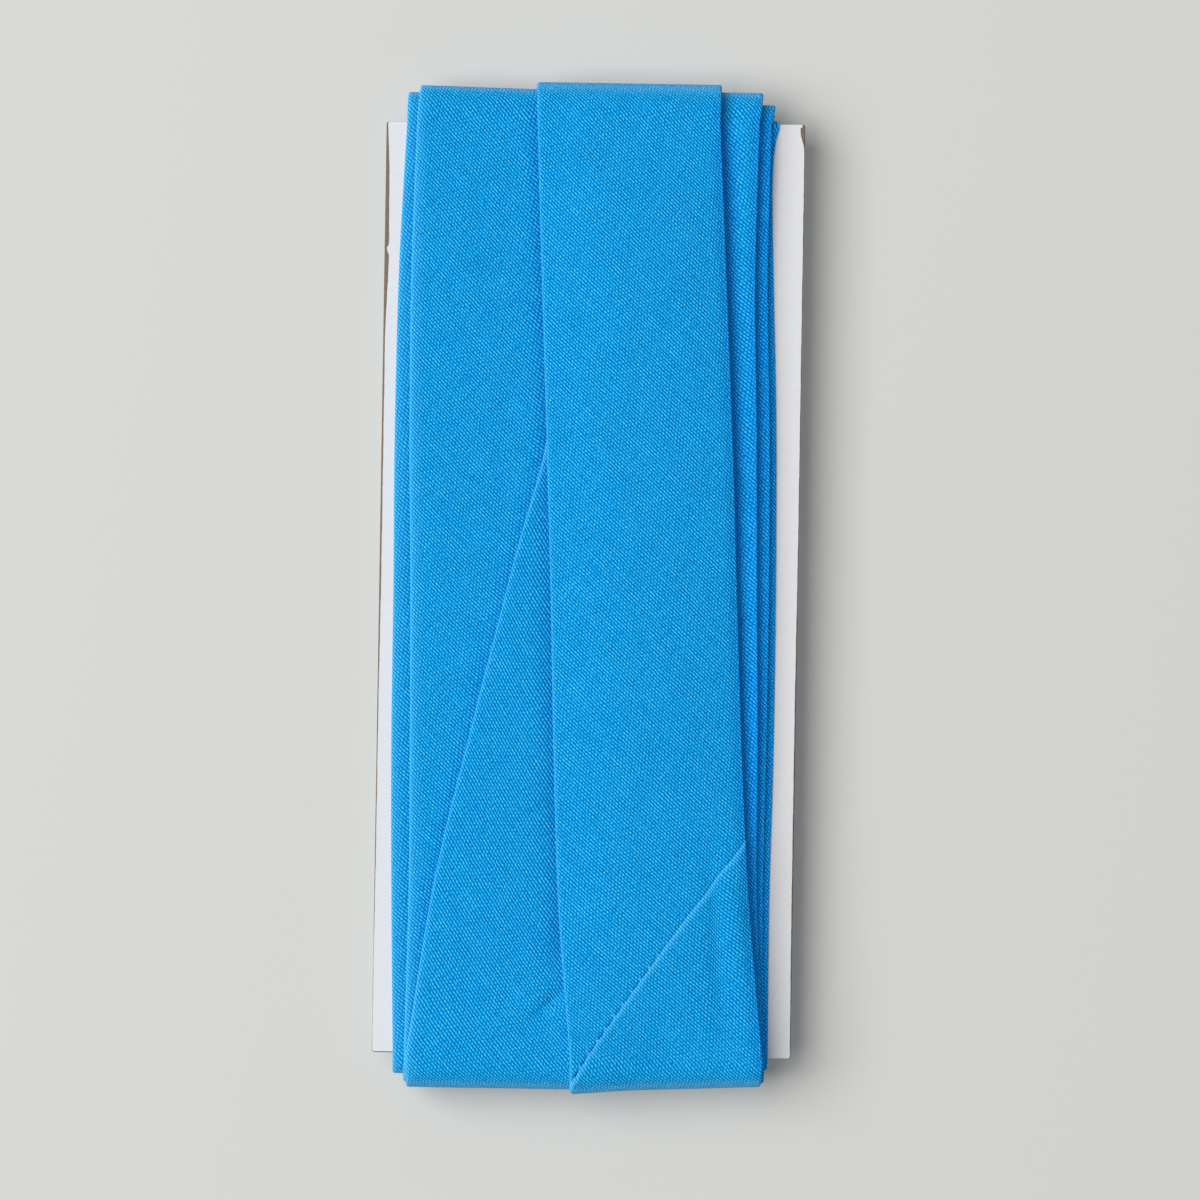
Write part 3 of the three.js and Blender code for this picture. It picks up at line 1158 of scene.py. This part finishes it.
@dataclass
class Binding:
    """The wound tape: the long inner length, the short outer length and the stitches that join them."""

    winding: Winding
    join: BiasJoin
    cloth: BiasCotton
    thread: SewingThread
    inner_points: int = 61
    outer_points: int = 181
    fan_rows: int = 60
    outer_rows: int = 190
    outer_growth: float = 1.6
    lift_fade: float = 2.5
    open_from: float = 20.0
    open_fade: float = 3.0
    most_fold_highlight: float = 1.6
    stitch_radius: float = 0.13
    stitch_half_length: float = 0.28
    stitch_sides: int = 8
    stitch_rings: int = 7
    stitch_tip: float = 0.04
    stitch_taper: int = 4
    stitch_lift: float = 0.02
    stitch_climb: float = 0.16
    stitch_bow: float = 0.1

    def build(self) -> list[bpy.types.Object]:
        """Builds the two lengths and the stitches."""
        cloth = self.cloth.material()
        return [self.build_inner(cloth), self.build_outer(cloth), self.build_stitches()]

    def section(self, top_points: int) -> FoldedSection:
        """The tape's section with so many points across its outer ply."""
        return FoldedSection(self.winding.width, self.winding.thickness, top_points)

    def seam_rows(self, lateral: np.ndarray) -> np.ndarray:
        """Finds where the tape meets the seam.

        Args:
            lateral: places across the tape.

        Returns:
            The tape's row at which each of them meets the seam.
        """
        start = self.winding.spans[(OUTERMOST.name, Part.FRONT)][0]
        stop = self.winding.spans[(OUTERMOST.name, Part.BOTTOM)][1] - self.winding.loop_rows // 2
        offsets = self.join.offset(self.winding.points[start:stop])
        crossing = np.array([np.interp(0.0, column, np.arange(start, stop)) for column in offsets.T])
        return np.interp(lateral, self.winding.lateral, crossing)

    def rows_per_mm(self) -> float:
        """How many rows of the tape lie in a millimetre square to the seam."""
        return 1 / (self.winding.row_step * abs(self.join.direction()[0]))

    def mesh(
        self,
        name: str,
        section: FoldedSection,
        rows: np.ndarray,
        lift: np.ndarray,
        highlight_share: np.ndarray,
        cloth: bpy.types.Material,
    ) -> bpy.types.Object:
        """Makes one length of folded strip and dresses it.

        Args:
            name: the piece's name.
            section: the tape's section.
            rows: the tape's row for every point, a line for each row of the mesh.
            lift: how far each point is lifted from the folded section.
            highlight_share: how much painted highlight each point gets.
            cloth: the finish.

        Returns:
            The new object.
        """
        lateral = np.broadcast_to(section.lateral, rows.shape)
        points, normals, along = self.winding.read(rows, lateral)
        outer = section.height / section.thickness
        facing = np.clip((points[..., 2] / self.lift_fade + 1) / 2, 0, 1)
        flat_front = np.clip(normals[..., 2], 0, 1) ** 2
        height = section.height + lift * outer * facing - section.fall * flat_front
        places = points[..., :SHADE_COLUMN] + normals * height[..., None]
        piece = make_piece(name, places.reshape(-1, 3), grid_faces(*rows.shape), cloth, Solid.BINDING)
        open_edge = np.clip((-points[..., 0] - self.open_from) / self.open_fade, 0, 1)
        flat = np.stack([np.broadcast_to(section.flat, rows.shape), along, 0 * along], axis=-1)
        attribute = piece.data.attributes.new("tape_mm", "FLOAT_VECTOR", "POINT")
        attribute.data.foreach_set("vector", flat.astype(np.float32).ravel())
        dressing = {
            # Painted highlight on the left folds, which face the light, wider at the card's left side, and on
            # the seam's lip.
            "fold_highlight": np.clip(section.wear_and_highlight + highlight_share + section.left_fold_highlighting * open_edge, 0, self.most_fold_highlight),
            "bent": np.abs(normals[..., 1]),
            # Painted shade as a bluer tint, beside the edges of upper turns and on the right shoulders and
            # folds.
            "painted_shade_blue": np.clip(points[..., SHADE_COLUMN] + section.painted_shade_share * flat_front, 0, 1),
        }
        for label, values in dressing.items():
            attribute = piece.data.attributes.new(label, "FLOAT", "POINT")
            attribute.data.foreach_set("value", values.astype(np.float32).ravel())
        return piece

    def build_inner(self, cloth: bpy.types.Material) -> bpy.types.Object:
        """Builds the long inner length, which ends tucked under the lip of the seam.

        Args:
            cloth: the finish.

        Returns:
            The new object.
        """
        section = self.section(self.inner_points)
        level = sum(self.winding.spans[(OUTERMOST.name, Part.FRONT)]) // 2
        straight = np.array([row for row in self.winding.kept if row < level])
        seam = self.seam_rows(section.lateral)
        offs = np.array([row.off for row in self.join.upper_rows]) * self.rows_per_mm()
        shares = np.linspace(0, 1, self.fan_rows)[:-1, None]
        fan = level + (seam + offs[0] - level)[None, :] * shares
        even = np.repeat(straight[:, None], len(seam), axis=1)
        rows = np.concatenate([even, fan, seam[None, :] + offs[:, None]])
        lift = np.zeros(rows.shape)
        lift[-len(offs) :] = np.array([row.lift for row in self.join.upper_rows])[:, None]
        piece = self.mesh("inner_length", section, rows, lift, np.zeros(rows.shape), cloth)
        return piece

    def build_outer(self, cloth: bpy.types.Material) -> bpy.types.Object:
        """Builds the short outer length, from the lip of the seam, round the bottom, to the tape's end.

        Args:
            cloth: the finish.

        Returns:
            The new object.
        """
        section = self.section(self.outer_points)
        seam = self.seam_rows(section.lateral)
        points, _, _ = self.winding.read(seam, section.lateral)
        gape = self.join.gape(self.join.reach(points))
        lower = self.join.lower_rows()
        offs = np.array([row.off for row in lower])[:, None]
        near = offs + gape[None, :] * np.clip(1 - offs / self.join.gape_depth, 0, 1)
        beside = seam[None, :] + near * self.rows_per_mm()
        shares = np.linspace(0, 1, self.outer_rows)[1:, None] ** self.outer_growth
        fan = beside[-1:] + (self.winding.count - 1 - beside[-1:]) * shares
        rows = np.concatenate([beside, fan])
        lift, highlight_share = np.zeros(rows.shape), np.zeros(rows.shape)
        lift[: len(lower)] = np.array([row.lift for row in lower])[:, None]
        highlight_share[: len(lower)] = np.array([row.highlight_share for row in lower])[:, None]
        piece = self.mesh("outer_length", section, rows, lift, highlight_share, cloth)
        return piece

    def stitch(self, centre: np.ndarray, normal: np.ndarray) -> np.ndarray:
        """Bows one short thread across the seam, round at both ends.

        Args:
            centre: the middle of the stitch, on the seam.
            normal: the tape's outward direction there.

        Returns:
            Its points, ring by ring.
        """
        along = np.array([*self.join.direction(), 0.0])
        across = np.array([-along[1], along[0], 0.0])
        t = np.linspace(-1, 1, self.stitch_rings)[:, None]
        round_off = np.sqrt(np.maximum(1 - t**self.stitch_taper, self.stitch_tip))
        lift = self.stitch_lift + self.stitch_climb * (t + 1) - self.stitch_bow * t * t
        middle = centre + across * self.stitch_half_length * t + normal * (self.winding.thickness + lift)
        angle = np.linspace(0, 2 * math.pi, self.stitch_sides, endpoint=False)[:, None]
        spokes = along * np.cos(angle) + normal * np.sin(angle)
        rings = middle[:, None, :] + spokes[None, :, :] * self.stitch_radius * round_off[:, None, :]
        return rings.reshape(-1, 3)

    def build_stitches(self) -> bpy.types.Object:
        """Builds the stitches that show where the seam gapes.

        Returns:
            The new object.
        """
        lateral = np.linspace(-self.winding.width / 2, self.winding.width / 2, self.outer_points)
        places, normals, _ = self.winding.read(self.seam_rows(lateral), lateral)
        reach = self.join.reach(places)
        order = np.argsort(reach)
        first = math.ceil(self.join.tight_reach / self.join.stitch_pitch) + 1
        points: list[np.ndarray] = []
        faces: list[tuple[int, ...]] = []
        for number in range(first, int(self.join.gape_end / self.join.stitch_pitch)):
            at = number * self.join.stitch_pitch
            centre, normal = (
                np.array([np.interp(at, reach[order], grid[order, axis]) for axis in range(3)])
                for grid in (places, normals)
            )
            faces += tube_faces(self.stitch_rings, self.stitch_sides, len(points))
            points += list(self.stitch(centre, normal))
        return make_piece("join_stitches", np.array(points), faces, self.thread.material(), Solid.BINDING)


@dataclass(frozen=True)
class Wear:
    """A place where the paper has gone from the board's edge: where it is, how far it runs and how deep."""

    x: float
    y: float
    length: float
    depth: float
    end: bool = False
    sharpness: int = 4

    def inset(self, outline: np.ndarray, inward: np.ndarray) -> np.ndarray:
        """How far the paper's edge has drawn back at each place, on the sides or on the ends."""
        off = np.hypot(outline[:, 0] - self.x, outline[:, 1] - self.y) / self.length
        return self.depth * np.exp(-(off**self.sharpness)) * np.abs(inward[:, int(self.end)])


@dataclass
class Card:
    """The card: a core of brown board with white paper on both faces, drawn back from its edges."""

    board: CutBoard
    paper: PaperLining
    lining: float = 0.14
    lining_low: float = 0.02
    lining_high: float = 0.06
    corner: float = 0.4
    corner_steps: int = 5
    step: float = 0.5
    slant: float = 0.45
    bevel: float = 0.12
    rag: float = 0.03
    rag_rates: tuple[tuple[float, float], ...] = ((1.0, 2.1), (-1.7, 5.3), (3.1, 0.7))
    wear_and_highlight: tuple[Wear, ...] = (
        Wear(-28.0, 50.0, 12.0, 0.42),
        Wear(-28.0, 22.0, 28.0, 0.2),
        Wear(-28.0, 45.2, 0.5, -0.28),
        Wear(-28.0, -20.0, 24.0, 0.1),
        # Here at the bottom end, near the left corner, the paper stops short of the edge, so a thin line of
        # brown board shows.
        Wear(-25.0, -62.25, 4.0, 0.1, end=True),
        Wear(28.0, 62.6, 2.4, 0.55),
        Wear(28.0, -30.0, 28.0, 0.1),
    )

    def outline(self, inset: float) -> tuple[np.ndarray, np.ndarray]:
        """Draws the card's outline, a little longer at its right side, with its corners rounded.

        Args:
            inset: how far to draw it in all round.

        Returns:
            The outline's points and the directions into the card.
        """
        half_x, half_y = CARD_WIDTH / 2 - self.corner, CARD_END - self.corner
        corners = [np.array([sx * half_x, sy * half_y]) for sx, sy in ((1, 1), (-1, 1), (-1, -1), (1, -1))]
        points, ways = [], []
        for number, middle in enumerate(corners):
            for angle in np.linspace(number, number + 1, self.corner_steps) * math.pi / 2:
                way = np.array([math.cos(angle), math.sin(angle)])
                points.append(middle + self.corner * way)
                ways.append(-way)
            start, goal = points[-1], corners[(number + 1) % len(corners)] + self.corner * way
            count = int(np.linalg.norm(goal - start) / self.step)
            for share in np.linspace(0, 1, count + 1)[1:-1]:
                points.append(start + (goal - start) * share)
                ways.append(-way)
        outline, inward = np.array(points), np.array(ways)
        longer = self.slant * (outline[:, 0] / CARD_WIDTH + MIDDLE)
        outline[:, 1] += np.where(outline[:, 1] > 0, longer, 0.0)
        return outline + inward * inset, inward

    def worn_and_lit(self, inset: float) -> np.ndarray:
        """Draws the paper's outline back where it has come away from the edge, a little ragged.

        Args:
            inset: how far to draw it in all round.

        Returns:
            The outline's points.
        """
        outline, inward = self.outline(inset)
        x, y = outline.T
        waves = np.mean([np.sin(x * across + y * along) for across, along in self.rag_rates], axis=0)
        rag = self.rag * (waves + 1) * np.abs(inward[:, 0])
        back = rag + sum(wear_and_highlight.inset(outline, inward) for wear_and_highlight in self.wear_and_highlight)
        return outline + inward * back[:, None]

    def slab(
        self, name: str, levels: list[tuple[np.ndarray, float]], material: bpy.types.Material
    ) -> bpy.types.Object:
        """Makes a closed slab.

        Args:
            name: the piece's name.
            levels: outlines with their heights, from the lowest up.
            material: the finish.

        Returns:
            The new object.
        """
        rings = [np.column_stack([ring, np.full(len(ring), z)]) for ring, z in levels]
        faces = tube_faces(len(rings), len(rings[0]))
        piece = make_piece(name, np.concatenate(rings), faces, material, Solid.CARD)
        piece.data.shade_flat()
        return piece

    def build(self) -> list[bpy.types.Object]:
        """Builds the board and its two linings.

        Returns:
            The three pieces.
        """
        board, paper = self.board.material(), self.paper.material()
        inner = HALF_CARD - self.lining
        edge, bevelled = self.outline(0.0)[0], self.outline(self.bevel)[0]
        core = [(bevelled, -inner), (edge, self.bevel - inner), (edge, inner - self.bevel), (bevelled, inner)]
        low, high = self.worn_and_lit(self.lining_low), self.worn_and_lit(self.lining_high)
        return [
            self.slab("board_core", core, board),
            self.slab("front_lining", [(low, inner), (high, HALF_CARD)], paper),
            self.slab("back_lining", [(high, -HALF_CARD), (low, -inner)], paper),
        ]


@dataclass
class Studio:
    """The pale floor, the soft light from the left and the camera straight above."""

    pixel: float = 0.1337
    centre_right: float = 11.5
    centre_down: float = 10.0
    image_side: float = 1200.0
    roll: float = 0.0161
    distance: float = 750.0
    nearest: float = 10.0
    sensor: float = 36.0
    floor_side: float = 3000.0
    floor_colour: str = "CECECA"
    floor_roughness: float = 0.9
    key_power: float = 46.0
    key_size: float = 1750.0
    key_way: tuple[float, float, float] = (-0.54, 0.1, 0.84)
    key_distance: float = 2000.0
    overhead: float = 0.5
    fill: float = 0.14
    fill_colour: str = "FFFFFF"

    def build_camera(self) -> None:
        """Places the camera at the photograph's view."""
        lens = bpy.data.cameras.new("camera")
        lens.sensor_width = self.sensor
        lens.lens = self.sensor * self.distance / (self.image_side * self.pixel)
        lens.clip_start = self.nearest * MM
        camera = bpy.data.objects.new("camera", lens)
        right, up = math.cos(self.roll), math.sin(self.roll)
        x = self.pixel * (self.centre_right * right + self.centre_down * up)
        y = self.pixel * (self.centre_right * up - self.centre_down * right)
        camera.location = (np.array([x, y, HALF_CARD + self.distance]) + CARD_CENTRE) * MM
        camera.rotation_euler = (0.0, 0.0, self.roll)
        bpy.context.scene.collection.objects.link(camera)
        bpy.context.scene.camera = camera

    def build_floor(self) -> None:
        """Lays the floor."""
        half = self.floor_side / 2 * MM
        corners = [(-half, -half, 0), (half, -half, 0), (half, half, 0), (-half, half, 0)]
        mesh = bpy.data.meshes.new("floor")
        mesh.from_pydata(corners, [], [tuple(range(len(corners)))])
        # It looks even and dull, so that only the soft shadows show on it.
        material, surface, _ = new_material("pale_paper_floor")
        feed(surface, {"Base Color": linear(self.floor_colour), "Roughness": self.floor_roughness})
        mesh.materials.append(material)
        floor = bpy.data.objects.new("floor", mesh)
        bpy.context.scene.collection.objects.link(floor)

    def build_light(self) -> None:
        """Sets a large soft light to the left, a weak one overhead that casts no shadow, and an even fill."""
        lamp = bpy.data.lights.new("key", "AREA")
        lamp.energy = self.key_power
        lamp.size = self.key_size * MM
        key = bpy.data.objects.new("key", lamp)
        way = np.array(self.key_way) / np.linalg.norm(self.key_way)
        key.location = way * self.key_distance * MM
        key.rotation_euler = key.location.to_track_quat("Z", "Y").to_euler()
        bpy.context.scene.collection.objects.link(key)
        sun = bpy.data.lights.new("overhead", "SUN")
        sun.energy = self.overhead
        sun.use_shadow = False
        bpy.context.scene.collection.objects.link(bpy.data.objects.new("overhead", sun))
        world = bpy.data.worlds.new("fill")
        world.use_nodes = True
        background = world.node_tree.nodes["Background"]
        feed(background, {"Color": linear(self.fill_colour), "Strength": self.fill})
        bpy.context.scene.world = world
        bpy.context.scene.view_settings.view_transform = "Standard"

    def build(self) -> None:
        """Builds the camera, the floor and the light."""
        self.build_camera()
        self.build_floor()
        self.build_light()


def main() -> None:
    """Builds the studio, the card and the wound tape, in that order, and reports each piece."""
    logging.basicConfig(level=logging.INFO, format="%(name)s %(message)s")
    Studio().build()
    pieces = Card(CutBoard(), PaperLining()).build()
    pieces += Binding(Winding(), BiasJoin(), BiasCotton(), SewingThread()).build()
    for piece in pieces:
        LOG.info("%s: %d points, %d faces", piece.name, len(piece.data.vertices), len(piece.data.polygons))


if __name__ == "__main__":
    main()
